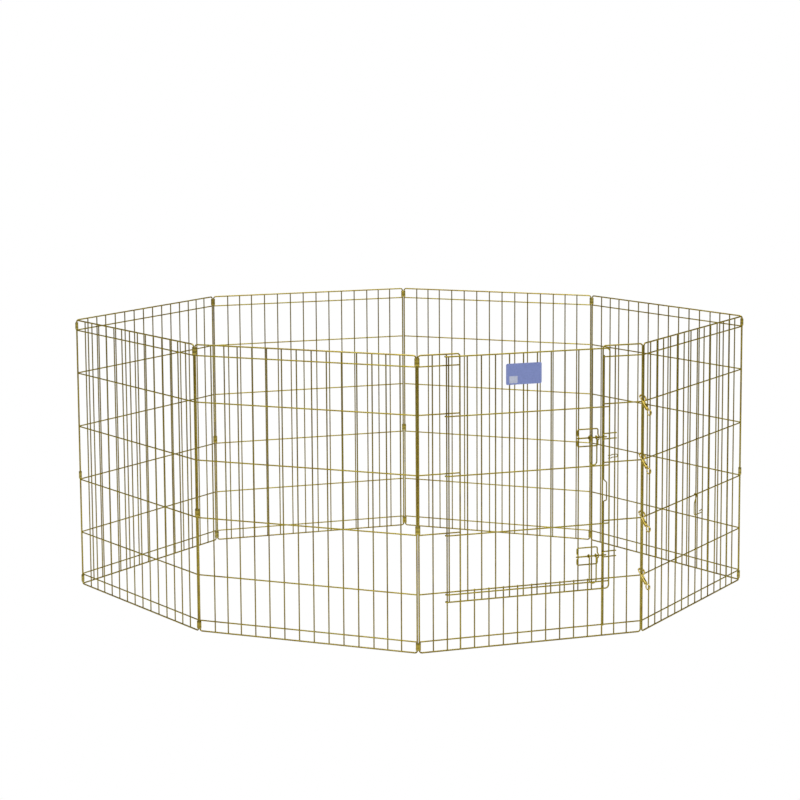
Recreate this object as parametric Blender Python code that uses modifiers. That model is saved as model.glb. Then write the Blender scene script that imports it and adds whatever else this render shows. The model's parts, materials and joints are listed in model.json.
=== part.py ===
"""Eight-panel folding wire playpen for a pet, with a latched door, corner clips and bolt snaps.

Each panel is drawn flat: x runs along the panel, y is up, z points out of the pen, all in millimetres.
place() then stands the drawing up at its corner of the pen, in metres.
"""
from math import cos, pi, radians, sin

import bmesh
import bpy
from mathutils import Matrix, Vector

# panels
PITCH = 609.6                 # corner to corner
HEIGHT = 762.0
LINK = 5.2                    # between the two posts of a corner
WIDTH = PITCH - LINK          # between the posts of one panel
FRAME_R = 2.4                 # corner radius of the square frame wire, 3.4 across its flats
FRAME_HALF = FRAME_R / 2 ** 0.5
CORNER = 7.0                  # bend radius of the frame
LEVEL_R = 1.5                 # level wires
RIM_R = 1.7                   # outer wire of the door
UPRIGHT_R = 1.4               # upright wires
LAYER = 2.6                   # from the level wires to the upright wires
LEVELS = [731.5, 609.6, 457.2, 304.8, 152.4, 30.5]
CLOSE_LEVELS = [609.6, 457.2, 304.8, 152.4]      # levels where the uprights are welded
GAP = 0.3
UPRIGHTS = [43.1, 80.4, 117.7, 158.7, 199.7, 240.7, 281.7, 322.7, 363.7, 404.7, 445.7, 486.7,
            524.0, 561.3]

# corner turns of the opened pen, in degrees, counter-clockwise from above
TURN_A, TURN_B, TURN_C, TURN_D = 37.3, 31.5, 72.1, 39.1
ORIGIN = (186.136, 643.181)       # centre of the whole part, measured from the door panel's left corner

# door and its strips
HINGE_X = 73.5
DOOR_LEFT = 109.5             # inner edges of the two strips
DOOR_RIGHT = 495.6
STRIP_UPRIGHTS = [38.0, 530.5, 566.0]
SILL_UPRIGHTS = [148.0, 187.0, 226.0, 264.5, 303.0, 341.5, 380.0, 418.5, 457.0]
CURL = 3.6                    # radius of the door's hinge curls
DOOR_Z = LAYER + CURL
DOOR_TOP, DOOR_BOTTOM = 754.0, 128.0
DOOR_EDGE = 511.6
DOOR_LEVELS = [603.0, 451.0, 299.0, 147.0]
DOOR_UPRIGHTS = [78.7] + [128.0 + 37.43 * i for i in range(10)]

# latches
LATCHES = {"upper": 526.0, "lower": 217.0}
ROD_Z = 10.6
ROD_R = 2.0
GUIDE_R = 1.35
HANDLE_X = (454.5, 473.5)
KEEPER_R = 1.3

# clips and snaps
CLIP_BAND = 0.9
CLIP_R = 3.4
CLIPS = {"top": (734.0, 753.0), "middle": (307.5, 327.5), "bottom": (8.5, 28.0)}
SNAP_TILT = 45.0
SNAP_LIFT = 9.0

GOLD = (0.83, 0.64, 0.24, 1.0)
BRASS = (0.78, 0.55, 0.22, 1.0)
BLUE = (0.36, 0.42, 0.80, 1.0)


def clear():
    for ob in list(bpy.data.objects):
        bpy.data.objects.remove(ob, do_unlink=True)
    for mesh in list(bpy.data.meshes):
        bpy.data.meshes.remove(mesh)
    tools = bpy.data.collections.new("cutters")
    bpy.context.scene.collection.children.link(tools)
    return tools


TOOLS = clear()


def helper(data):
    """A hidden working object for curves and Boolean operands."""
    ob = bpy.data.objects.new("helper", data)
    TOOLS.objects.link(ob)
    ob.hide_render = True
    ob.display_type = "WIRE"
    return ob


def baked(ob):
    """The evaluated mesh of a working object, which is then removed."""
    bpy.context.view_layer.update()
    mesh = bpy.data.meshes.new_from_object(ob.evaluated_get(bpy.context.evaluated_depsgraph_get()))
    bpy.data.objects.remove(ob, do_unlink=True)
    return mesh


def cleaned(mesh):
    bm = bmesh.new()
    bm.from_mesh(mesh)
    bmesh.ops.remove_doubles(bm, verts=bm.verts, dist=0.0001)
    bmesh.ops.dissolve_degenerate(bm, edges=bm.edges, dist=0.0001)
    bmesh.ops.recalc_face_normals(bm, faces=bm.faces)
    bm.to_mesh(mesh)
    bm.free()
    return mesh


def wire(points, radius, closed=False, resolution=0, flat=False, level=True):
    """A wire bent through the points. Its section has four corners, or flats towards x, y and z."""
    curve = bpy.data.curves.new("wire", "CURVE")
    curve.dimensions = "3D"
    curve.twist_mode = "Z_UP" if level else "MINIMUM"
    curve.bevel_depth = radius
    curve.bevel_resolution = resolution
    curve.use_fill_caps = True
    spline = curve.splines.new("POLY")
    spline.points.add(len(points) - 1)
    for point, at in zip(spline.points, points):
        point.co = (at[0], at[1], at[2], 1.0)
        point.tilt = pi / 4 if flat else 0.0
    spline.use_cyclic_u = closed
    return cleaned(baked(helper(curve)))


def joined(meshes):
    """Several separate solids as one operand."""
    bm = bmesh.new()
    for mesh in meshes:
        bm.from_mesh(mesh)
    out = bpy.data.meshes.new("joined")
    bm.to_mesh(out)
    bm.free()
    return out


def combine(base, others, operation="UNION"):
    ob, tool = helper(base), helper(joined(others))
    step = ob.modifiers.new("combine", "BOOLEAN")
    step.operation = operation
    step.solver = "EXACT"
    step.object = tool
    mesh = baked(ob)
    bpy.data.objects.remove(tool, do_unlink=True)
    return cleaned(mesh)


def rod(start, end, radius, sides=8):
    """A straight round bar between two points."""
    a, b = Vector(start), Vector(end)
    bm = bmesh.new()
    bmesh.ops.create_cone(bm, cap_ends=True, segments=sides, radius1=radius, radius2=radius,
                          depth=(b - a).length)
    turn = (b - a).to_track_quat("Z", "Y").to_matrix().to_4x4()
    bm.transform(Matrix.Translation((a + b) / 2) @ turn @ Matrix.Rotation(pi / sides, 4, "Z"))
    mesh = bpy.data.meshes.new("rod")
    bm.to_mesh(mesh)
    bm.free()
    return mesh


def block(low, high):
    bm = bmesh.new()
    bmesh.ops.create_cube(bm, size=1.0)
    size = [h - l for l, h in zip(low, high)]
    middle = [(h + l) / 2 for l, h in zip(low, high)]
    bm.transform(Matrix.Translation(middle) @ Matrix.Diagonal((*size, 1.0)))
    mesh = bpy.data.meshes.new("block")
    bm.to_mesh(mesh)
    bm.free()
    return mesh


def bend(x, y, radius, first, last, steps=3, z=0.0):
    """Points of a bend in the drawing plane, angles in degrees."""
    angles = [first + (last - first) * i / steps for i in range(steps + 1)]
    return [(x + radius * cos(radians(t)), y + radius * sin(radians(t)), z) for t in angles]


def stand(x, y, heading):
    """Drawing plane to the pen: x along the heading, y up, z out of the pen, millimetres to metres."""
    h = radians(heading)
    turn = Matrix(((cos(h), 0, sin(h), x - ORIGIN[0]), (sin(h), 0, -cos(h), y - ORIGIN[1]),
                   (0, 1, 0, 0), (0, 0, 0, 1)))
    return Matrix.Scale(0.001, 4) @ turn


def place(name, mesh, matrix, colour=GOLD, metallic=1.0, roughness=0.3):
    """The finished node, with its own material."""
    mesh = mesh.copy()
    mesh.transform(matrix)
    mesh.name = name
    ob = bpy.data.objects.new(name, mesh)
    bpy.context.scene.collection.objects.link(ob)
    material = bpy.data.materials.new(name)
    material.use_nodes = True
    shader = material.node_tree.nodes["Principled BSDF"]
    shader.inputs["Base Color"].default_value = colour
    shader.inputs["Metallic"].default_value = metallic
    shader.inputs["Roughness"].default_value = roughness
    mesh.materials.clear()
    mesh.materials.append(material)
    return ob


def corner_frames():
    """Place of every panel and every corner link, going round counter-clockwise from the door."""
    turns = [TURN_D, TURN_C, TURN_B, TURN_A] * 2
    x, y, heading = 0.0, 0.0, 0.0
    panels, links = [], []
    for turn in turns:
        panels.append((x, y, heading))
        x, y = x + WIDTH * cos(radians(heading)), y + WIDTH * sin(radians(heading))
        heading += turn / 2
        h = radians(heading)
        links.append((x + LINK / 2 * cos(h), y + LINK / 2 * sin(h), heading))
        x, y = x + LINK * cos(h), y + LINK * sin(h)
        heading += turn / 2
    return panels, links


def level_wire(x0, x1, y, z=0.0, radius=LEVEL_R):
    return wire([(x0, y, z), (x1, y, z)], radius)


def upright(x, y0, y1, z=-LAYER, radius=UPRIGHT_R):
    return wire([(x, y0, z), (x, y1, z)], radius)


def plain_panel():
    """Frame loop with six level wires, and fourteen uprights welded behind them."""
    e, r = FRAME_HALF, CORNER
    loop = (bend(r, e + r, r, 180, 270) + bend(WIDTH - r, e + r, r, 270, 360)
            + bend(WIDTH - r, HEIGHT - e - r, r, 0, 90) + bend(r, HEIGHT - e - r, r, 90, 180))
    frame = wire(loop, FRAME_R, closed=True, flat=True)
    welded = [y for y in LEVELS if y in CLOSE_LEVELS]
    loose = [y for y in LEVELS if y not in CLOSE_LEVELS]
    levels = [level_wire(0, WIDTH, y) for y in welded]
    levels += [level_wire(0, WIDTH, y, z=GAP + 0.3) for y in loose]
    frame = combine(frame, levels)
    return combine(frame, [upright(x, 1.0, HEIGHT - 1.0) for x in UPRIGHTS])


def door_panel():
    """Two strips either side of an open-topped doorway over a low wired sill."""
    e, r = FRAME_HALF, CORNER
    back = -0.3
    path = [(DOOR_LEFT, 1.2, back)]
    path += bend(DOOR_LEFT - r, HEIGHT - e - r, r, 0, 90, z=back)
    path += bend(r, HEIGHT - e - r, r, 90, 180) + bend(r, e + r, r, 180, 270)
    path += bend(WIDTH - r, e + r, r, 270, 360) + bend(WIDTH - r, HEIGHT - e - r, r, 0, 90)
    path += bend(DOOR_RIGHT + r, HEIGHT - e - r, r, 90, 180, z=back)
    path += [(DOOR_RIGHT, 1.2, back)]
    frame = wire(path, FRAME_R, flat=True)
    frame = combine(frame, [block((DOOR_LEFT - 3, 0.9, -0.9), (DOOR_LEFT + 3, 2.5, 0.7)),
                            block((DOOR_RIGHT - 3, 0.9, -0.9), (DOOR_RIGHT + 3, 2.5, 0.7))])
    levels = [level_wire(0, WIDTH, y) for y in LEVELS[4:]]
    for y in LEVELS[:4]:
        levels += [level_wire(0, DOOR_LEFT, y), level_wire(DOOR_RIGHT, WIDTH, y)]
    frame = combine(frame, levels)
    uprights = [upright(x, 1.0, HEIGHT - 1.0) for x in STRIP_UPRIGHTS]
    uprights += [upright(HINGE_X, 1.0, HEIGHT - 1.0, z=LAYER)]
    uprights += [upright(x, 1.0, LEVELS[4] + 2.1) for x in SILL_UPRIGHTS]
    x = DOOR_RIGHT + 4.6
    brace = [(x, LEVELS[5] - 4, -LAYER), (x, 357, -LAYER), (x + 8, 367, -LAYER), (x + 8, 404, -LAYER),
             (x, 414, -LAYER), (x, LEVELS[0] + 4, -LAYER)]
    uprights += [wire(brace, UPRIGHT_R)]
    return combine(frame, uprights)


def hinge_curl(y):
    """The end of a door wire, curled round the hinge wire."""
    angles = [radians(200 - 40 * i) for i in range(5)] + [0.0]
    return [(HINGE_X - CURL * sin(t), y, LAYER + CURL * cos(t)) for t in angles]


def door():
    r = 9.0
    rim = hinge_curl(DOOR_TOP)
    rim += bend(DOOR_EDGE - r, DOOR_TOP - r, r, 90, 0, z=DOOR_Z)
    rim += bend(DOOR_EDGE - r, DOOR_BOTTOM + r, r, 0, -90, z=DOOR_Z)
    rim += hinge_curl(DOOR_BOTTOM)[::-1]
    body = wire(rim, RIM_R, level=False)
    levels = [wire(hinge_curl(y) + [(DOOR_EDGE, y, DOOR_Z + 0.3)], LEVEL_R, level=False)
              for y in DOOR_LEVELS]
    body = combine(body, levels)
    z = DOOR_Z - LAYER
    return combine(body, [upright(x, DOOR_BOTTOM - 1, DOOR_TOP + 1, z=z) for x in DOOR_UPRIGHTS])


def latch_guide(y):
    """Wire rectangle on the door, its sides bent out round the bolt."""
    x0, x1, half, r = 423.4, 479.5, 22.2, 5.0
    near, far = DOOR_Z - LAYER + UPRIGHT_R + GAP + GUIDE_R, ROD_Z + ROD_R + GAP + GUIDE_R
    kink = [(7.5, near), (3.6, far), (-3.6, far), (-7.5, near)]
    path = bend(x0 + r, y + half - r, r, 90, 180, z=near)
    path += [(x0, y + dy, z) for dy, z in kink]
    path += bend(x0 + r, y - half + r, r, 180, 270, z=near)
    path += bend(x1 - r, y - half + r, r, 270, 360, z=near)
    path += [(x1, y - dy, z) for dy, z in kink]
    path += bend(x1 - r, y + half - r, r, 0, 90, z=near)
    return wire(path, GUIDE_R, closed=True, level=False)


def latch_bolt(y):
    bar = rod((419, y, ROD_Z), (503, y, ROD_Z), ROD_R)
    left, right = HANDLE_X
    collars = [rod((left - 4.2, y, ROD_Z), (left - 1.8, y, ROD_Z), 3.2),
               rod((right + 1.8, y, ROD_Z), (right + 4.0, y, ROD_Z), 3.2)]
    return combine(bar, collars)


def latch_handle(y):
    """Finger loop, its two eyes curled over the bolt."""
    curl, drop, r = 3.9, 72.0, 9.0
    left, right = HANDLE_X
    eye = [(y + curl * sin(radians(t)), ROD_Z + curl * cos(radians(t))) for t in (240, 192, 144, 96, 48, 0)]
    path = [(left, h, z) for h, z in eye]
    path += bend(left + r, y - drop + r + GUIDE_R, r, 180, 270, z=ROD_Z + curl)
    path += bend(right - r, y - drop + r + GUIDE_R, r, 270, 360, z=ROD_Z + curl)
    path += [(right, h, z) for h, z in eye[::-1]]
    return wire(path, GUIDE_R, level=False)


def latch_keeper(y):
    """Staple on the strip: its loop stands out through the door and takes the bolt's end."""
    half, x = 7.0, 492.5
    top = ROD_Z + ROD_R + GAP + KEEPER_R
    leg = [(534.5, 0.4), (521, 0.4), (507, 2.9), (497, 2.9), (x, 6.0), (x, top - 3.5)]
    path = [(px, y + half, z) for px, z in leg]
    path += [(x, y + half - 2.5, top), (x, y - half + 2.5, top)]
    path += [(px, y - half, z) for px, z in leg[::-1]]
    return wire(path, KEEPER_R, level=False)


def door_stop():
    """Small hairpin on the door's free edge that meets the strip when the door closes."""
    r, y, half = 1.1, 473.0, 3.6
    near = DOOR_Z + RIM_R + GAP + r
    leg = [(506.5, near), (515, near), (522, 0.4), (534, 0.4)]
    path = [(px, y + half, z) for px, z in leg]
    path += [(536.5, y + half - 1.6, 0.4), (536.5, y - half + 1.6, 0.4)]
    path += [(px, y - half, z) for px, z in leg[::-1]]
    return wire(path, r, level=False)


def name_card():
    """Blank card in front of the door's uprights."""
    front = DOOR_Z - LAYER + UPRIGHT_R
    low, high, r = (230.0, 674.0), (325.5, 728.0), 3.0
    outline = (bend(low[0] + r, low[1] + r, r, 180, 270, 2) + bend(high[0] - r, low[1] + r, r, 270, 360, 2)
               + bend(high[0] - r, high[1] - r, r, 0, 90, 2) + bend(low[0] + r, high[1] - r, r, 90, 180, 2))
    bm = bmesh.new()
    face = bm.faces.new([bm.verts.new((x, y, front + GAP)) for x, y, z in outline])
    lifted = bmesh.ops.extrude_face_region(bm, geom=[face])["geom"]
    bmesh.ops.translate(bm, verts=[v for v in lifted if isinstance(v, bmesh.types.BMVert)], vec=(0, 0, 1.0))
    mesh = bpy.data.meshes.new("card")
    bm.to_mesh(mesh)
    bm.free()
    return cleaned(mesh)


def hanging_hook():
    """Spare wire hook hung over a level wire of the panel beside the door."""
    r, y, x, curl = 1.2, 304.8, 315.0, 3.3
    path = [(x, y + curl * sin(radians(t)), curl * cos(radians(t))) for t in (230, 180, 135, 90, 45, 0)]
    path += [(x - 2, y - 6, curl), (x - 13, y - 20, curl), (x - 14, y - 26, curl)]
    path += bend(x - 7, y - 48, 7, 180, 270, z=curl)
    path += bend(x + 34, y - 51, 4, 270, 450, 5, z=curl) + [(x + 18, y - 49, curl)]
    return wire(path, r, level=False)


def corner_clip(low, high):
    """Sheet sleeve folded round both posts of a corner: an upright band given its thickness."""
    curve = bpy.data.curves.new("band", "CURVE")
    curve.dimensions = "3D"
    curve.extrude = (high - low) / 2
    right = bend(LINK / 2, 0, CLIP_R, -90, 90, 4)
    left = bend(-LINK / 2, 0, CLIP_R, 90, 270, 4)
    spline = curve.splines.new("POLY")
    spline.points.add(9)
    for point, at in zip(spline.points, right + left):
        point.co = (at[0], at[1], 0.0, 1.0)
    spline.use_cyclic_u = True
    ob = helper(curve)
    solid = helper(cleaned(baked(ob)))
    step = solid.modifiers.new("sheet", "SOLIDIFY")
    step.thickness = CLIP_BAND
    step.offset = 0.0
    mesh = baked(solid)
    mesh.transform(Matrix.Translation((0, (low + high) / 2, 0)) @ Matrix.Rotation(-pi / 2, 4, "X"))
    return cleaned(mesh)


# a bolt snap lies along x, its hook at the origin, its thumb bolt's knob on +z
SNAP_RING = 8.9
SNAP_SIDE = 8.0
SNAP_WIRE = 1.9


def snap_body():
    """Cast hook and barrel, bored for the bolt and slotted for its knob."""
    hook = [(15.5, 3.0, 0), (12.0, 4.8, 0)]
    for t in (0, 36, 72, 108, 144, 180, 208, 232):
        hook.append((SNAP_RING * cos(radians(t)), SNAP_SIDE + SNAP_RING * sin(radians(t)), 0))
    mesh = combine(rod((12.5, 0, 0), (36, 0, 0), 4.5, 10), [wire(hook, SNAP_WIRE, resolution=1)])
    cuts = [rod((9, 0, 0), (33, 0, 0), 2.1, 8)]
    mesh = combine(mesh, cuts, "DIFFERENCE")
    mesh = combine(mesh, [block((18.6, -1.75, 0.3), (31.0, 1.75, 7.0))], "DIFFERENCE")
    return combine(mesh, [rod((34.2, 0, 0), (40, 0, 0), 2.0, 8)], "DIFFERENCE")


def snap_bolt():
    mesh = combine(rod((-3.0, 0, 0), (22.2, 0, 0), 1.7), [rod((20.5, 0, 0.2), (20.5, 0, 5.4), 1.3, 6)])
    return combine(mesh, [rod((20.5, 0, 5.0), (20.5, 0, 6.8), 2.7)])


def snap_eye():
    ring = wire(bend(46.4, 0, 7.2, 0, 330, 11), 1.7, closed=True)
    ring.transform(Matrix.Rotation(pi / 2, 4, "X"))
    return combine(ring, [rod((34.6, 0, 0), (39.6, 0, 0), 1.5, 6)])


def snap_matrix(link, level):
    """Hook round both posts just above a level wire, the snap hanging down and outwards."""
    t = radians(SNAP_TILT)
    lean = Matrix(((0, 1, 0, 0), (-sin(t), 0, cos(t), level + SNAP_LIFT), (cos(t), 0, sin(t), 0),
                   (0, 0, 0, 1)))
    return stand(*link) @ lean @ Matrix.Translation((0, -SNAP_SIDE, 0))


def build():
    panels, links = corner_frames()
    # counter-clockwise from the door panel the panels are 1, 8, 7, 6, 5, 4, 3, 2
    numbers = [1, 8, 7, 6, 5, 4, 3, 2]
    plain = plain_panel()
    for number, at in zip(numbers, panels):
        place(f"panel_{number}", door_panel() if number == 1 else plain, stand(*at))

    front = stand(*panels[0])
    place("door", door(), front)
    for name, y in LATCHES.items():
        place(f"{name}_guide", latch_guide(y), front)
        place(f"{name}_bolt", latch_bolt(y), front)
        place(f"{name}_handle", latch_handle(y), front)
        place(f"{name}_keeper", latch_keeper(y), front)
    place("door_stop", door_stop(), front)
    place("name_card", name_card(), front, BLUE, 0.0, 0.5)
    place("spare_hook", hanging_hook(), stand(*panels[1]))

    # links 1 to 7 carry clips; link 0 is the corner closed by the snaps
    corners = {1: "87", 2: "76", 3: "65", 4: "54", 5: "43", 6: "32", 7: "21"}
    for index, pair in corners.items():
        for where, (low, high) in CLIPS.items():
            place(f"clip_{pair}_{where}", corner_clip(low, high), stand(*links[index]))

    parts = {"body": snap_body(), "bolt": snap_bolt(), "eye": snap_eye()}
    for number, level in enumerate(CLOSE_LEVELS, 1):
        for part, mesh in parts.items():
            place(f"snap_{number}_{part}", mesh, snap_matrix(links[0], level), BRASS, 1.0, 0.3)

    bpy.data.collections.remove(TOOLS)


build()
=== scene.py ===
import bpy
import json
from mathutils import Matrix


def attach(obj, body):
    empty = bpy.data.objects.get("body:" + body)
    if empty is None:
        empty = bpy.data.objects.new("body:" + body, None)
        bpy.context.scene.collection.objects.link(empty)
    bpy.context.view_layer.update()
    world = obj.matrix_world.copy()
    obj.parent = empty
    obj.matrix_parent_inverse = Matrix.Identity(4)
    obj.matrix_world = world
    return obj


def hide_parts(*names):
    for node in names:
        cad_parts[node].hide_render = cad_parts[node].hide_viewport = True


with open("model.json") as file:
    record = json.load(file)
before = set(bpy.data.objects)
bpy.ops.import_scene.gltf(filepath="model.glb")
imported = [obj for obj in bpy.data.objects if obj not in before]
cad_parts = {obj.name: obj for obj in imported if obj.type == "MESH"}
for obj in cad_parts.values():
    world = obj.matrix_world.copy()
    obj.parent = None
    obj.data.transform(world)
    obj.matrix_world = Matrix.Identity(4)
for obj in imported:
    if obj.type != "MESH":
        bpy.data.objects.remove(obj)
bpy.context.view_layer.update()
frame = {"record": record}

import json
from math import atan2, cos, pi, radians, sin, sqrt, tan

import bmesh
import bpy
from mathutils import Matrix, Vector

# ---- sizes in millimetres ---------------------------------------------------------------------
HEIGHT, WIDTH, LINK = 762.0, 604.4, 5.2           # a panel, post to post, and a corner's two posts
TURNS = (39.1, 72.1, 31.5, 37.3)                  # four corners in degrees, then the same again
FRAME_R, LEVEL_R, UPRIGHT_R = 2.0, 1.75, 1.7      # wire radii
FRAME_Y = 2.0                     # the bottom wire's centre above the floor
TOP_Y = HEIGHT - FRAME_Y
BEND = 7.0                        # of the frame wire at its corners
LAYER = 2.6                       # level wires to uprights
LEVELS = [731.5, 609.6, 457.2, 304.8, 152.4, 30.5]
LEVEL_END = 0.6                   # a level wire's end from the middle of its post
UPRIGHTS = [43.1, 80.4, 117.7, 158.7, 199.7, 240.7, 281.7, 322.7, 363.7, 404.7, 445.7, 486.7,
            524.0, 561.3]
UPRIGHT_END = 1.0                 # an upright's end from the outside of the frame
HINGE_X, STRIP_LEFT, STRIP_RIGHT = 73.5, 109.5, 495.6
STRIP_UPRIGHTS = [38.0, 530.5, 566.0]
SILL_UPRIGHTS = [148.0, 187.0, 226.0, 264.5, 303.0, 341.5, 380.0, 418.5, 457.0]
CURL = 3.6                        # of the door's level wires round the hinge wire
DOOR_Z = LAYER + CURL
DOOR_TOP, DOOR_BOTTOM, DOOR_EDGE = 754.0, 128.0, 511.6
DOOR_LEVELS = [603.0, 451.0, 299.0, 147.0]
DOOR_UPRIGHTS = [78.7] + [128.0 + 37.43 * i for i in range(10)]
LATCHES = {"upper": 526.0, "lower": 217.0}        # heights of the bolts
ROD_Z, ROD_R = 10.6, 1.95         # a bolt in front of the level wires, and its radius
LATCH_R = 1.75
CLIPS = {"top": (734.0, 753.0), "middle": (307.5, 327.5), "bottom": (8.5, 28.0)}   # low and high edges
EYE_X = 46.4                      # middle of a snap's eye along the snap
SHARP = 0.45                      # radius left on cut wire ends

SPOT_WELD = (1.75, 1.75, 1.15)    # half sizes of weld beads
BUTT_WELD = (2.1, 1.95, 1.9)
LOOP_WELD = (3.2, 2.05, 2.05)
STRIP_WELD = (2.3, 2.3, 2.0)
EDGE_WELD = (1.9, 1.9, 1.75)
GUIDE_WELD = (1.7, 1.7, 0.9)
KEEPER_WELD = (1.6, 1.6, 0.55)

JOINTS = {j["name"]: j for j in frame["record"]["behaviour"]["joints"]}


def end_post(number):
    """The post about which the next panel's clips turn; panels go round as 1, 8, 7, 6, 5, 4, 3, 2."""
    return Vector(JOINTS[f"corner_{number}{number - 1}"]["pos_m"]) * 1000


def heading(number):
    """A panel's direction in degrees, counter-clockwise from panel 1's."""
    return sum((TURNS * 2)[:(1 - number) % 8])


def along(degrees):
    return Vector((cos(radians(degrees)), sin(radians(degrees)), 0))


def add_object(name, data):
    ob = bpy.data.objects.new(name, data)
    bpy.context.scene.collection.objects.link(ob)
    return ob


# ---- meshes -----------------------------------------------------------------------------------
class Shape:
    """Vertices and faces gathered in millimetres, with a material number on each face."""

    def __init__(self):
        self.verts, self.faces, self.kinds = [], [], []

    def add(self, face, kind):
        self.faces.append(face)
        self.kinds.append(kind)

    def rings(self, rings, kind=0, closed=False):
        """Skin a row of rings of equal length, with a cap on each end unless the row is closed."""
        base, n, count = len(self.verts), len(rings[0]), len(rings)
        for ring in rings:
            self.verts.extend(ring)
        for i in range(count if closed else count - 1):
            a, b = base + i * n, base + (i + 1) % count * n
            for k in range(n):
                self.add([a + k, a + (k + 1) % n, b + (k + 1) % n, b + k], kind)
        if not closed:
            self.add([base + k for k in reversed(range(n))], kind)
            self.add([base + (count - 1) * n + k for k in range(n)], kind)

    def tube(self, path, radius, kind=0, closed=False, sides=12):
        """A round wire along a path, its cut ends slightly rounded."""
        pts = [Vector(p) for p in path]
        count = len(pts)
        tangents = []
        for i in range(count):
            if closed:
                before, after = pts[i] - pts[i - 1], pts[(i + 1) % count] - pts[i]
            else:
                before = pts[i] - pts[i - 1] if i else pts[1] - pts[0]
                after = pts[i + 1] - pts[i] if i < count - 1 else before
            tangents.append((before.normalized() + after.normalized()).normalized())
        normal = tangents[0].orthogonal().normalized()
        normals = [normal]
        for i in range(1, count):
            normal = tangents[i - 1].rotation_difference(tangents[i]) @ normal
            normals.append((normal - tangents[i] * normal.dot(tangents[i])).normalized())
        twist = 0.0
        if closed:
            last = tangents[-1].rotation_difference(tangents[0]) @ normals[-1]
            across = tangents[0].cross(normals[0])
            twist = atan2(last.dot(across), last.dot(normals[0]))

        def ring(i, at, r):
            u = Matrix.Rotation(-twist * i / count, 3, tangents[i]) @ normals[i]
            v = tangents[i].cross(u)
            return [at + (u * cos(2 * pi * k / sides) + v * sin(2 * pi * k / sides)) * r
                    for k in range(sides)]

        rings = [ring(i, p, radius) for i, p in enumerate(pts)]
        if not closed:
            end = count - 1
            rings[0] = ring(0, pts[0] + tangents[0] * SHARP, radius)
            rings[end] = ring(end, pts[end] - tangents[end] * SHARP, radius)
            rings.insert(0, ring(0, pts[0], radius - SHARP))
            rings.append(ring(end, pts[end], radius - SHARP))
        self.rings(rings, kind, closed)

    def lathe(self, profile, sides=24, closed=False):
        """Turn (along, radius) pairs about the x axis."""
        rings = [[Vector((x, r * cos(2 * pi * k / sides), r * sin(2 * pi * k / sides)))
                  for k in range(sides)] for x, r in profile]
        self.rings(rings, closed=closed)

    def bead(self, at, size, kind):
        """A small flattened drop of weld metal."""
        sides, rows = 8, 4
        rings = []
        for i in reversed(range(1, rows)):
            t = pi * i / rows
            rings.append([Vector((at[0] + size[0] * sin(t) * cos(2 * pi * k / sides),
                                  at[1] + size[1] * sin(t) * sin(2 * pi * k / sides),
                                  at[2] + size[2] * cos(t))) for k in range(sides)])
        self.rings(rings, kind)

    def mesh(self, name, matrix):
        mesh = bpy.data.meshes.new(name)
        mesh.from_pydata([tuple(v) for v in self.verts], [], self.faces)
        mesh.transform(matrix)
        mesh.update()
        return mesh

    def piece(self, name, matrix, materials, body, slot, nodes=()):
        """An object that rides a body and takes the place of CAD nodes; its slot is not used."""
        mesh = self.mesh(name, matrix)
        for material in materials:
            mesh.materials.append(material)
        for face, kind in zip(mesh.polygons, self.kinds):
            face.material_index = kind
        bm = bmesh.new()
        bm.from_mesh(mesh)
        bmesh.ops.recalc_face_normals(bm, faces=bm.faces)
        bm.to_mesh(mesh)
        bm.free()
        mesh.shade_smooth()
        mesh.set_sharp_from_angle(angle=radians(42))
        ob = add_object(name, mesh)
        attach(ob, body)
        if nodes:
            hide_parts(*nodes)
        return ob


def bend(x, y, radius, first, last, steps=8, z=0.0):
    """An arc between two angles in degrees."""
    angles = [radians(first + (last - first) * i / steps) for i in range(steps + 1)]
    return [(x + radius * cos(t), y + radius * sin(t), z) for t in angles]


def soft_turn(before, corner, after, reach):
    """A curve round a corner, that starts and ends at reach from it."""
    a, b = before - corner, after - corner
    share = 0.48                      # of a leg at most, so that two turns don't meet
    reach = min(reach, a.length * share, b.length * share)
    start, end = corner + a.normalized() * reach, corner + b.normalized() * reach
    steps = 5
    return [start * (1 - t) ** 2 + corner * 2 * t * (1 - t) + end * t ** 2
            for t in [k / steps for k in range(steps + 1)]]


def rounded(path, radius):
    """The path with each corner turned into a curve; a corner that is nearly straight stays."""
    nearly_straight = 1.5             # half the angle between two legs, in radians
    pts = [Vector(p) for p in path]
    out = [pts[0]]
    for before, corner, after in zip(pts, pts[1:], pts[2:]):
        half = (before - corner).angle(after - corner) / 2
        if half > nearly_straight:
            out.append(corner)
        else:
            out += soft_turn(before, corner, after, radius / max(0.05, tan(half)))
    return out + [pts[-1]]


def stand(at, degrees):
    """From a drawing in mm (x along the heading, y up, z out of the pen) to the world."""
    h = radians(degrees)
    turn = Matrix(((cos(h), 0, sin(h), at.x), (sin(h), 0, -cos(h), at.y), (0, 1, 0, 0), (0, 0, 0, 1)))
    return Matrix.Scale(0.001, 4) @ turn


def panel_frame(number):
    return stand(end_post(number) - along(heading(number)) * WIDTH, heading(number))


def link_frame(number):
    """Middle of the corner after a panel, on the line between its two posts."""
    degrees = heading(number) + TURNS[(1 - number) % 4] / 2
    return stand(end_post(number) + along(degrees) * LINK / 2, degrees)


# ---- materials --------------------------------------------------------------------------------
def noise(tree, scale, detail, distortion=0.0):
    """Noise in the piece's own space."""
    place, node = tree.nodes.new("ShaderNodeTexCoord"), tree.nodes.new("ShaderNodeTexNoise")
    node.inputs["Scale"].default_value = scale
    node.inputs["Detail"].default_value = detail
    node.inputs["Distortion"].default_value = distortion
    tree.links.new(place.outputs["Object"], node.inputs["Vector"])
    return node.outputs["Fac"]


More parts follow.
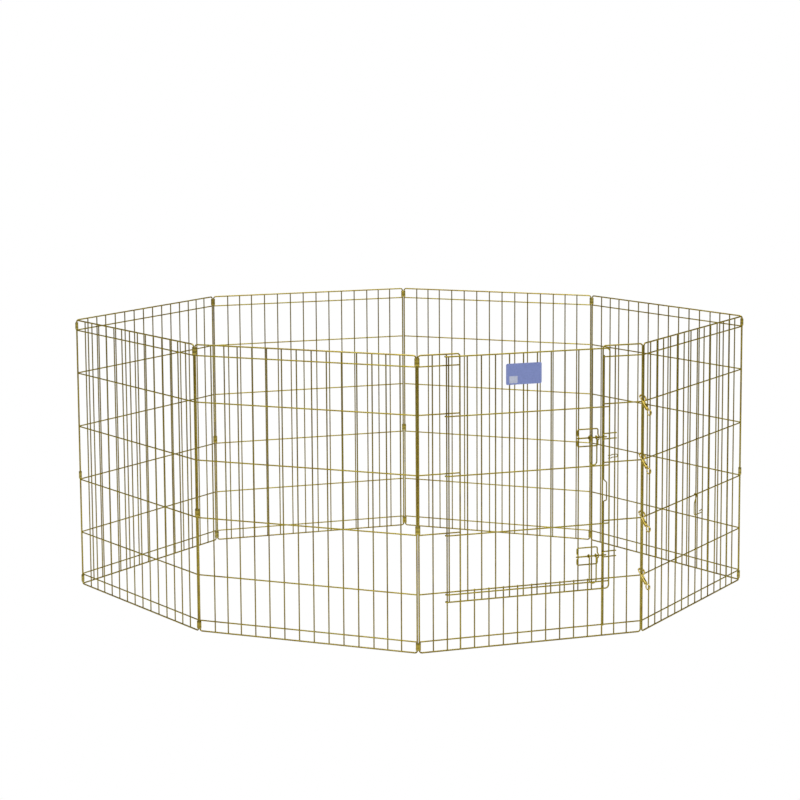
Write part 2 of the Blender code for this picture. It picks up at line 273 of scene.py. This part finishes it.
def colour_ramp(tree, value, first, last, *between):
    """Colours for a value; each stop is a position and a colour."""
    node = tree.nodes.new("ShaderNodeValToRGB")
    elements = node.color_ramp.elements
    for element, (position, colour) in zip(elements, (first, last)):
        element.position, element.color = position, (*colour, 1)
    for position, colour in between:
        elements.new(position).color = (*colour, 1)
    tree.links.new(value, node.inputs["Fac"])
    return node.outputs["Color"]


def remap(tree, value, start, end, low, high):
    """The value's stretch from start to end, spread over low to high."""
    node = tree.nodes.new("ShaderNodeMapRange")
    node.inputs["From Min"].default_value, node.inputs["From Max"].default_value = start, end
    node.inputs["To Min"].default_value, node.inputs["To Max"].default_value = low, high
    tree.links.new(value, node.inputs["Value"])
    return node.outputs["Result"]


def bump(tree, height, strength, distance):
    node = tree.nodes.new("ShaderNodeBump")
    node.inputs["Strength"].default_value = strength
    node.inputs["Distance"].default_value = distance
    tree.links.new(height, node.inputs["Height"])
    return node.outputs["Normal"]


def plated(name, low, mid, high, rough=(0.24, 0.42), grain=0.00003):
    """Plated metal: slow colour drift of the passivated coat, fine drawn grain and handling wear."""
    m = bpy.data.materials.new(name)
    m.use_nodes = True
    tree, links = m.node_tree, m.node_tree.links
    shader = tree.nodes["Principled BSDF"]
    shader.inputs["Metallic"].default_value = 1.0
    shader.inputs["Specular Tint"].default_value = (1.0, 0.86, 0.45, 1.0)      # rim of the gold coat
    drift, fine, dull = noise(tree, 14.0, 4.0, 0.6), noise(tree, 900.0, 3.0), noise(tree, 55.0, 5.0)
    coat = colour_ramp(tree, drift, (0.30, low), (0.72, high), (0.5, mid))
    speck = tree.nodes.new("ShaderNodeMix")
    speck.data_type, speck.blend_type = "RGBA", "MULTIPLY"
    speck.inputs["Factor"].default_value = 0.55
    links.new(coat, speck.inputs["A"])
    links.new(remap(tree, fine, 0.35, 0.6, 0.72, 1.0), speck.inputs["B"])
    links.new(speck.outputs["Result"], shader.inputs["Base Color"])
    links.new(remap(tree, dull, 0.3, 0.7, *rough), shader.inputs["Roughness"])
    links.new(bump(tree, fine, 0.35, grain), shader.inputs["Normal"])
    return m


def printed(name, colour, shade):
    """Smooth card: faint paper mottle under a thin gloss."""
    m = bpy.data.materials.new(name)
    m.use_nodes = True
    tree, links = m.node_tree, m.node_tree.links
    shader = tree.nodes["Principled BSDF"]
    shader.inputs["Coat Weight"].default_value = 0.3
    shader.inputs["Coat Roughness"].default_value = 0.25
    mottle = noise(tree, 260.0, 6.0)
    links.new(colour_ramp(tree, mottle, (0.35, shade), (0.62, colour)), shader.inputs["Base Color"])
    links.new(remap(tree, mottle, 0.0, 1.0, 0.38, 0.55), shader.inputs["Roughness"])
    links.new(bump(tree, mottle, 0.15, 0.00005), shader.inputs["Normal"])
    return m


LEVEL_ZINC = plated("zinc_level", (0.28, 0.21, 0.03), (0.39, 0.31, 0.035), (0.38, 0.33, 0.06))
# Painted shade: the uprights' coat is a darker copy of the level wires' coat, standing in for the dim room
# that the upright wires mirror.
UPRIGHT_ZINC_PAINTED_SHADE = plated("zinc_upright_painted_shade", (0.20, 0.145, 0.035), (0.29, 0.225, 0.035), (0.30, 0.26, 0.07))
FRAME_ZINC = plated("zinc_frame", (0.29, 0.215, 0.05), (0.40, 0.315, 0.055), (0.40, 0.345, 0.09))
WELD = plated("zinc_weld", (0.18, 0.13, 0.06), (0.27, 0.21, 0.07), (0.32, 0.27, 0.14), (0.36, 0.55))
SHEET = plated("zinc_sheet", (0.36, 0.27, 0.05), (0.48, 0.38, 0.07), (0.46, 0.40, 0.12), (0.28, 0.5))
CAST = plated("brass_cast", (0.40, 0.29, 0.05), (0.54, 0.41, 0.08), (0.58, 0.47, 0.13), (0.3, 0.5), 0.00008)
TURNED = plated("brass_turned", (0.48, 0.36, 0.08), (0.60, 0.47, 0.11), (0.66, 0.55, 0.18), (0.16, 0.32))
CARD = printed("card_blue", (0.26, 0.32, 0.67), (0.22, 0.28, 0.60))
CARD_PALE = printed("card_pale", (0.62, 0.66, 0.80), (0.56, 0.60, 0.76))

WIRES = [LEVEL_ZINC, UPRIGHT_ZINC_PAINTED_SHADE, FRAME_ZINC, WELD]
LEVEL, UPRIGHT, FRAME, NUGGET = range(4)
LATCH_WIRES = [LEVEL_ZINC, WELD]
LATCH_NUGGET = 1


# ---- panels -----------------------------------------------------------------------------------
def level_wire(shape, x0, x1, y):
    """A level wire welded at both ends to the sides of two posts."""
    weld_in = 0.9                     # from the wire's end
    shape.tube([(x0, y, 0), (x1, y, 0)], LEVEL_R, LEVEL)
    for x in (x0 + weld_in, x1 - weld_in):
        shape.bead((x, y, 0), BUTT_WELD, NUGGET)


def upright(shape, x, top, levels, z=-LAYER):
    """An upright from the bottom of the frame, welded where it crosses the levels."""
    shape.tube([(x, UPRIGHT_END, z), (x, top, z)], UPRIGHT_R, UPRIGHT)
    for y in levels:
        shape.bead((x, y, z / 2), SPOT_WELD, NUGGET)


def plain_panel():
    s = Shape()
    low, high, right = FRAME_Y + BEND, TOP_Y - BEND, WIDTH - BEND
    loop = (bend(BEND, low, BEND, 180, 270) + bend(right, low, BEND, 270, 360)
            + bend(right, high, BEND, 0, 90) + bend(BEND, high, BEND, 90, 180))
    s.tube(loop, FRAME_R, FRAME, closed=True, sides=14)
    s.bead((WIDTH / 2 + 9, FRAME_Y, 0), LOOP_WELD, NUGGET)       # where the loop is closed
    for y in LEVELS:
        level_wire(s, LEVEL_END, WIDTH - LEVEL_END, y)
    for x in UPRIGHTS:
        upright(s, x, HEIGHT - UPRIGHT_END, LEVELS + [FRAME_Y, TOP_Y])
    return s


def door_panel():
    """The frame wire runs down both strips, so the doorway is open at the top."""
    s = Shape()
    low, high = FRAME_Y + BEND, TOP_Y - BEND
    foot_z, turn_z = -0.3, -0.15
    path = [(STRIP_LEFT, UPRIGHT_END, foot_z)] + bend(STRIP_LEFT - BEND, high, BEND, 0, 90, z=turn_z)
    path += bend(BEND, high, BEND, 90, 180) + bend(BEND, low, BEND, 180, 270)
    path += bend(WIDTH - BEND, low, BEND, 270, 360) + bend(WIDTH - BEND, high, BEND, 0, 90)
    path += bend(STRIP_RIGHT + BEND, high, BEND, 90, 180, z=turn_z)
    path += [(STRIP_RIGHT, UPRIGHT_END, foot_z)]
    s.tube(path, FRAME_R, FRAME, sides=14)
    sill = LEVELS[4:]
    for x in (STRIP_LEFT, STRIP_RIGHT):
        for y in [FRAME_Y] + sill:
            s.bead((x, y, 0), STRIP_WELD, NUGGET)
    left, right = LEVEL_END, WIDTH - LEVEL_END
    for y in LEVELS:
        for x0, x1 in [(left, right)] if y in sill else [(left, STRIP_LEFT), (STRIP_RIGHT, right)]:
            level_wire(s, x0, x1, y)
    for x in STRIP_UPRIGHTS + [HINGE_X]:
        z = LAYER if x == HINGE_X else -LAYER
        upright(s, x, HEIGHT - UPRIGHT_END, LEVELS + [FRAME_Y, TOP_Y], z)
    for x in SILL_UPRIGHTS:
        upright(s, x, sill[0] + 2.1, sill + [FRAME_Y])
    near = STRIP_RIGHT + 4.6
    far = near + 8
    brace = [(near, LEVELS[5] - 4), (near, 355.5), (far, 357.5), (far, 404), (near, 412),
             (near, LEVELS[0] + 4)]
    s.tube(rounded([(x, y, -LAYER) for x, y in brace], 2.4), UPRIGHT_R - 0.2, UPRIGHT)
    for y in LEVELS:
        s.bead((near, y, -LAYER / 2), SPOT_WELD, NUGGET)
    return s


FRONT = stand(end_post(2) + along(-TURNS[3] / 2) * LINK, 0)
door_panel().piece("grille_1", FRONT, WIRES, "panel_1", "panel_wire", ["panel_1"])
for number in range(2, 9):
    plain_panel().piece(f"grille_{number}", panel_frame(number), WIRES, f"panel_{number}", "panel_wire",
                        [f"panel_{number}"])


# ---- door -------------------------------------------------------------------------------------
def hinge_curl(y):
    """A wire's end bent round the hinge wire."""
    reach, steps = 210, 18
    angles = [radians(reach * (1 - i / steps)) for i in range(steps + 1)]
    return [(HINGE_X - CURL * sin(t), y, LAYER + CURL * cos(t)) for t in angles]


def door():
    s = Shape()
    corner = 9.0
    rim = hinge_curl(DOOR_TOP)
    rim += bend(DOOR_EDGE - corner, DOOR_TOP - corner, corner, 90, 0, z=DOOR_Z)
    rim += bend(DOOR_EDGE - corner, DOOR_BOTTOM + corner, corner, 0, -90, z=DOOR_Z)
    rim += hinge_curl(DOOR_BOTTOM)[::-1]
    s.tube(rim, LEVEL_R + 0.15, LEVEL, sides=14)
    for y in DOOR_LEVELS:
        s.tube(hinge_curl(y) + [(DOOR_EDGE, y, DOOR_Z)], LEVEL_R, LEVEL)
        s.bead((DOOR_EDGE - 1.2, y, DOOR_Z), EDGE_WELD, NUGGET)
    z = DOOR_Z - LAYER
    for x in DOOR_UPRIGHTS:
        s.tube([(x, DOOR_BOTTOM - 1, z), (x, DOOR_TOP + 1, z)], UPRIGHT_R, UPRIGHT)
        for y in DOOR_LEVELS + [DOOR_TOP, DOOR_BOTTOM]:
            s.bead((x, y, DOOR_Z - LAYER / 2), SPOT_WELD, NUGGET)
    return s


door().piece("door_grille", FRONT, WIRES, "door", "door_wire", ["door"])


# ---- latches ----------------------------------------------------------------------------------
def guide(y):
    """A closed wire that lies against the door and crosses in front of the bolt twice."""
    s = Shape()
    left, right = 423.4, 479.5
    half, foot, crown = 22.2, 7.5, 3.6        # from the bolt: its ends, its feet and its crown
    near, far = DOOR_Z + 0.45, ROD_Z + 3.85
    side = [(half, near), (foot, near), (crown, far), (-crown, far), (-foot, near), (-half, near)]
    pts = [Vector((left, y + h, z)) for h, z in side] + [Vector((right, y + h, z)) for h, z in side[::-1]]
    path = []
    for i, corner in enumerate(pts):
        reach = 5.0 if i % len(side) in (0, len(side) - 1) else 1.9
        path += soft_turn(pts[i - 1], corner, pts[(i + 1) % len(pts)], reach)
    s.tube(path, LATCH_R, closed=True)
    for x in (427.37, 464.8):                 # at the door's last two uprights
        for h in (half, -half):
            s.bead((x, y + h, near - LATCH_R - 0.1), GUIDE_WELD, LATCH_NUGGET)
    return s


def bolt(y):
    """A rod with a chamfered nose and a collar on each side of the finger loop."""
    s = Shape()
    s.lathe([(419, 1.1), (419.5, 1.7), (420.3, ROD_R), (449.9, ROD_R), (450.3, ROD_R), (450.35, 2.7),
             (450.8, 3.15), (452.1, 3.15), (452.6, 2.7), (452.65, ROD_R), (475.35, ROD_R),
             (475.4, 2.7), (475.9, 3.15), (477.0, 3.15), (477.4, 2.7), (477.45, ROD_R), (500.5, ROD_R),
             (502.2, 1.6), (503.0, 0.9)])
    s.verts = [v + Vector((0, y, ROD_Z)) for v in s.verts]
    return s


def handle(y):
    """The finger loop, both ends curled round the bolt."""
    s = Shape()
    curl, drop, corner = 3.9, 72.0, 9
    left, right = 454.5, 473.5
    turn = [radians(t) for t in range(250, -1, -14)] + [0.0]
    eye = [(y + curl * sin(t), ROD_Z + curl * cos(t)) for t in turn]
    bottom = y - drop + corner + LATCH_R
    path = [(left, h, z) for h, z in eye]
    path += bend(left + corner, bottom, corner, 180, 270, z=ROD_Z + curl)
    path += bend(right - corner, bottom, corner, 270, 360, z=ROD_Z + curl)
    path += [(right, h, z) for h, z in eye[::-1]]
    s.tube(path, LATCH_R)
    return s


def staple(leg, y, half, corner, radius):
    """A wire out along a leg, given as x and z, across and back."""
    s = Shape()
    path = [(x, y + half, z) for x, z in leg] + [(x, y - half, z) for x, z in leg[::-1]]
    s.tube(rounded(path, corner), radius)
    return s


def keeper(y):
    """A staple on the right strip, that passes through the door and takes the bolt."""
    x, half = 492.5, 7.0
    s = staple([(534.5, 0.4), (521, 0.4), (507, 2.9), (497, 2.9), (x, 6.0), (x, ROD_Z + 3.7)], y, half,
               3.2, LATCH_R - 0.1)
    for h in (half, -half):
        s.bead((STRIP_UPRIGHTS[1], y + h, -0.75), KEEPER_WELD, LATCH_NUGGET)
    return s


for name, y in LATCHES.items():
    guide(y).piece(f"latch_guide_{name}", FRONT, LATCH_WIRES, "door", "latch_wire", [f"{name}_guide"])
    bolt(y).piece(f"latch_rod_{name}", FRONT, LATCH_WIRES, f"{name}_bolt", "latch_wire", [f"{name}_bolt"])
    handle(y).piece(f"latch_loop_{name}", FRONT, LATCH_WIRES, f"{name}_handle", "latch_wire",
                    [f"{name}_handle"])
    keeper(y).piece(f"latch_keeper_{name}", FRONT, LATCH_WIRES, "panel_1", "latch_wire",
                    [f"{name}_keeper"])


def door_stop():
    """A hairpin on the door's rim, that meets the right strip."""
    r = 1.1
    near = DOOR_Z + 2.0 + r
    return staple([(506.5, near), (515, near), (522, 0.4), (536.5, 0.4)], 473.0, 3.6, 3.0, r)


door_stop().piece("door_hairpin", FRONT, LATCH_WIRES, "door", "door_wire", ["door_stop"])


# ---- card -------------------------------------------------------------------------------------
def card():
    """A slightly bowed card with rounded corners, a pale blank square set in its face."""
    s = Shape()
    left, right, bottom, top, r = 230.0, 325.5, 674.0, 728.0, 4.0
    back, thick, edge = 5.6, 0.6, 0.12
    middle = (left + right) / 2

    def bow(x):
        return 0.35 * ((x - middle) / (right - middle)) ** 2

    def inset(x):
        near = max(0.0, r - min(x - left, right - x))
        return r - sqrt(max(0.0, r * r - near * near))

    corner = [r * (1 - cos(radians(15 * i))) for i in range(7)]
    slices = [left + c for c in corner]
    slices += [left + r + (right - left - 2 * r) * i / 12 for i in range(1, 12)]
    slices += [right - c for c in corner[::-1]]
    rings = []
    for x in slices:
        low, high, z = bottom + inset(x), top - inset(x), back + bow(x)
        rings.append([Vector((x, y, z + dz)) for y, dz in
                      ((low, 0), (low, thick - edge), (low + edge, thick), (high - edge, thick),
                       (high, thick - edge), (high, 0))])
    s.rings(rings)
    x0, size, y0, y1, proud, steps = 239.0, 21.6, 678.0, 696.0, 0.1, 6       # the pale square
    rings = []
    for x in [x0 + size * i / steps for i in range(steps + 1)]:
        z = back + thick + bow(x)
        rings.append([Vector((x, y, z + dz)) for y, dz in
                      ((y0, -proud), (y0, proud), (y1, proud), (y1, -proud))])
    s.rings(rings, 1)
    return s


card().piece("blank_card", FRONT, [CARD, CARD_PALE], "door", "card", ["name_card"])


# ---- spare hook -------------------------------------------------------------------------------
def spare_hook():
    """A bent wire that hangs on a level wire and ends in a hook open to the right."""
    s = Shape()
    x, y, curl = 315.0, LEVELS[3], 3.3
    path = [(x, y + curl * sin(radians(t)), curl * cos(radians(t))) for t in range(230, -1, -10)]
    run = [path[-1], (x - 2, y - 6, curl), (x - 13, y - 20, curl), (x - 14, y - 27, curl),
           (x - 14, y - 48, curl)]
    path += rounded(run, 5)[1:] + bend(x - 7, y - 48, 7, 190, 270, z=curl)
    path += bend(x + 34, y - 51, 4, 270, 450, 14, z=curl) + [(x + 18, y - 49, curl)]
    s.tube(path, 1.3)
    return s


spare_hook().piece("hanging_hook", panel_frame(8), [LEVEL_ZINC], "spare_hook", "hook_wire",
                   ["spare_hook"])


# ---- corner clips -----------------------------------------------------------------------------
def clip(low, high):
    """Sheet wrapped round two posts, its ends meeting on the inside, a rib round it near each end."""
    s = Shape()
    r, half, lip = 3.4, LINK / 2, 0.3
    line = [(-lip, r, 0)] + bend(-half, 0, r, 90, 270, 14) + bend(half, 0, r, -90, 90, 14) + [(lip, r, 0)]
    skin, soft, proud = 0.45, 0.15, 0.22      # half the sheet's thickness, its edges, and the ribs
    section = [(skin - soft, low), (skin, low + .2), (skin, low + 4.2), (skin + proud, low + 5),
               (skin, low + 5.8), (skin, high - 5.8), (skin + proud, high - 5), (skin, high - 4.2),
               (skin, high - .2), (skin - soft, high), (soft - skin, high), (-skin, high - .2),
               (-skin, low + .2), (soft - skin, low)]
    rings = []
    for i, (x, z, _) in enumerate(line):
        ax, az, _ = line[max(0, i - 1)]
        bx, bz, _ = line[min(len(line) - 1, i + 1)]
        out = Vector((bz - az, ax - bx, 0)).normalized()
        rings.append([Vector((x + out.x * off, y, -(z + out.y * off))) for off, y in section])
    s.rings(rings)
    return s


for number in range(2, 9):
    pair = f"{number}{number - 1}"
    for where, (low, high) in CLIPS.items():
        clip(low, high).piece(f"sleeve_{pair}_{where}", link_frame(number), [SHEET],
                              f"panel_{number - 1}", "clip_sheet", [f"clip_{pair}_{where}"])


# ---- bolt snaps -------------------------------------------------------------------------------
def snap_matrix(number):
    """From a snap's drawing in mm (x down its axis, z to the knob's side) to the world."""
    joint = JOINTS[f"snap_{number}_swivel"]
    x = Vector(joint["axis"]).normalized()
    out = Vector((x.x, x.y, 0)).normalized()
    y = Vector((-out.y, out.x, 0))
    z = x.cross(y).normalized()
    at = Vector(joint["pos_m"]) * 1000 - x * EYE_X
    return Matrix.Scale(0.001, 4) @ Matrix(((x.x, y.x, z.x, at.x), (x.y, y.y, z.y, at.y),
                                           (x.z, y.z, z.z, at.z), (0, 0, 0, 1)))


def snap_hook():
    s = Shape()
    ring, side = 8.9, 8.0
    path = [(14.2, 4.0, 0), (12.2, 5.0, 0), (10.4, 6.4, 0)]
    path += [(ring * cos(radians(t)), side + ring * sin(radians(t)), 0) for t in range(4, 233, 12)]
    s.tube(path, 2.25, sides=16)
    return s


def snap_barrel():
    """Bored barrel with turned rims."""
    s = Shape()
    outer = [(12.5, 4.3), (13.0, 4.95), (15.6, 4.95), (16.0, 4.45), (32.6, 4.45), (33.0, 4.95),
             (35.5, 4.95), (36.0, 4.3)]
    bore = [(36.0, 1.95), (34.4, 1.95), (34.3, 0.3), (33.2, 0.3), (33.1, 2.05), (12.5, 2.05)]
    s.lathe(outer + bore, sides=28, closed=True)
    return s


def cut_slot(ob, matrix):
    """Open the side of a barrel for the stem of the thumb bolt's knob."""
    s = Shape()
    start, end, half, low, high = 18.6, 31.0, 1.7, 0.4, 8.0
    s.rings([[Vector((x, y, z)) for y, z in ((-half, low), (half, low), (half, high), (-half, high))]
             for x in (start, end)])
    tool = add_object("slot", s.mesh("slot", matrix))
    step = ob.modifiers.new("slot", "BOOLEAN")
    step.operation, step.solver, step.object = "DIFFERENCE", "EXACT", tool
    bpy.context.view_layer.update()
    cut = bpy.data.meshes.new_from_object(ob.evaluated_get(bpy.context.evaluated_depsgraph_get()))
    ob.modifiers.remove(step)
    ob.data = cut
    bpy.data.objects.remove(tool, do_unlink=True)


def snap_bolt():
    """The sliding bolt, with a knob whose rim is knurled."""
    s = Shape()
    s.lathe([(-3.7, 0.9), (-3.1, 1.5), (-2.1, 1.65), (21.6, 1.65), (22.2, 1.2)])
    knob_x, teeth, groove = 20.5, 20, 0.16
    rings = []
    for h, r in [(0.3, 1.2), (4.9, 1.2), (5.0, 2.3), (5.3, 2.6), (6.5, 2.6), (6.75, 2.3), (6.8, 1.6)]:
        ring = []
        for k in range(teeth * 2):
            rim = r - (groove if k % 2 and 5.2 < h < 6.6 else 0.0)
            t = pi * k / teeth
            ring.append(Vector((knob_x + rim * cos(t), rim * sin(t), h)))
        rings.append(ring)
    s.rings(rings)
    return s


def snap_eye():
    s = Shape()
    ring = 7.1
    path = [(EYE_X + ring * cos(radians(t)), 0, ring * sin(radians(t))) for t in range(0, 360, 12)]
    s.tube(path, 1.65, closed=True, sides=16)
    s.lathe([(34.7, 1.1), (34.9, 1.45), (36.2, 1.45), (36.4, 2.7), (36.8, 3.0), (38.0, 3.0), (38.6, 2.4),
             (39.8, 1.7)])
    return s


for number in range(1, 5):
    at = snap_matrix(number)
    snap_hook().piece(f"snap_{number}_hook", at, [CAST], "panel_8", "snap_casting")
    barrel = snap_barrel().piece(f"snap_{number}_barrel", at, [CAST], "panel_8", "snap_casting",
                                 [f"snap_{number}_body"])
    cut_slot(barrel, at)
    snap_bolt().piece(f"snap_{number}_thumb_bolt", at, [TURNED], f"snap_{number}_bolt", "snap_fittings",
                      [f"snap_{number}_bolt"])
    snap_eye().piece(f"snap_{number}_swivel_eye", at, [TURNED], f"snap_{number}_eye", "snap_fittings",
                     [f"snap_{number}_eye"])


# ---- floor, light and camera ------------------------------------------------------------------
def camera_mix(tree, seen, unseen, out):
    """One shader where the camera looks straight at the stage, another in reflections and bounces."""
    path, mix = tree.nodes.new("ShaderNodeLightPath"), tree.nodes.new("ShaderNodeMixShader")
    tree.links.new(path.outputs["Is Camera Ray"], mix.inputs["Fac"])
    tree.links.new(unseen, mix.inputs[1])
    tree.links.new(seen, mix.inputs[2])
    tree.links.new(mix.outputs["Shader"], out.inputs["Surface"])


def floor():
    """A wide floor, half a millimetre under the wires."""
    mesh = bpy.data.meshes.new("floor")
    size, z = 30.0, -0.0005
    mesh.from_pydata([(-size, -size, z), (size, -size, z), (size, size, z), (-size, size, z)], [],
                     [(0, 1, 2, 3)])
    m = bpy.data.materials.new("floor")
    m.use_nodes = True
    nodes, links = m.node_tree.nodes, m.node_tree.links
    shader = nodes["Principled BSDF"]
    cloud = nodes.new("ShaderNodeTexNoise")
    cloud.inputs["Scale"].default_value = 2.0
    paint = colour_ramp(m.node_tree, cloud.outputs["Fac"], (0, (0.80, 0.80, 0.79)), (1, (0.84, 0.84, 0.83)))
    links.new(paint, shader.inputs["Base Color"])
    shader.inputs["Roughness"].default_value = 0.9
    shader.inputs["Specular IOR Level"].default_value = 0.1
    glow = nodes.new("ShaderNodeEmission")
    camera_mix(m.node_tree, glow.outputs["Emission"], shader.outputs["BSDF"], nodes["Material Output"])
    mesh.materials.append(m)
    ob = add_object("floor", mesh)


def softbox(name, at, target, size, power):
    light = bpy.data.lights.new(name, "AREA")
    light.shape, light.size, light.size_y, light.energy = "RECTANGLE", size[0], size[1], power
    ob = add_object(name, light)
    ob.location = at
    ob.rotation_euler = (Vector(target) - Vector(at)).to_track_quat("-Z", "Y").to_euler()


def studio():
    """White backdrop; what the metal mirrors is a dim room that brightens overhead."""
    world = bpy.data.worlds.new("studio")
    bpy.context.scene.world = world
    world.use_nodes = True
    tree = world.node_tree
    nodes, links = tree.nodes, tree.links
    white = nodes["Background"]
    white.inputs["Color"].default_value = (1, 1, 1, 1)
    white.inputs["Strength"].default_value = 1.0
    place, split = nodes.new("ShaderNodeTexCoord"), nodes.new("ShaderNodeSeparateXYZ")
    room = nodes.new("ShaderNodeBackground")
    links.new(place.outputs["Generated"], split.inputs["Vector"])
    grey = colour_ramp(tree, split.outputs["Z"], (0.05, (0.07, 0.07, 0.07)), (0.7, (0.6, 0.6, 0.6)))
    links.new(grey, room.inputs["Color"])
    camera_mix(tree, white.outputs["Background"], room.outputs["Background"], nodes["World Output"])


def camera():
    data = bpy.data.cameras.new("camera")
    data.sensor_width, data.lens = 36.0, 92.2815
    data.shift_y = -0.15
    data.clip_end = 200.0
    ob = add_object("camera", data)
    ob.location = (-1.713, -5.428, 1.5414)
    yaw, pitch, roll = 17.204, 6.728, -0.342
    ob.rotation_euler = (Matrix.Rotation(radians(-yaw), 3, "Z")
                         @ Matrix.Rotation(radians(90 - pitch), 3, "X")
                         @ Matrix.Rotation(radians(roll), 3, "Z")).to_euler()
    bpy.context.scene.camera = ob


bpy.context.scene.view_settings.view_transform = "Standard"
floor()
softbox("key", (-2.4, -2.6, 3.4), (0, 0, 0.3), (2.0, 1.6), 45)
softbox("fill", (3.2, -1.6, 2.8), (0, 0, 0.3), (1.6, 1.6), 18)
softbox("top", (0, 0, 3.2), (0, 0, 0), (3.0, 3.0), 75)
studio()
camera()

bpy.context.view_layer.update()
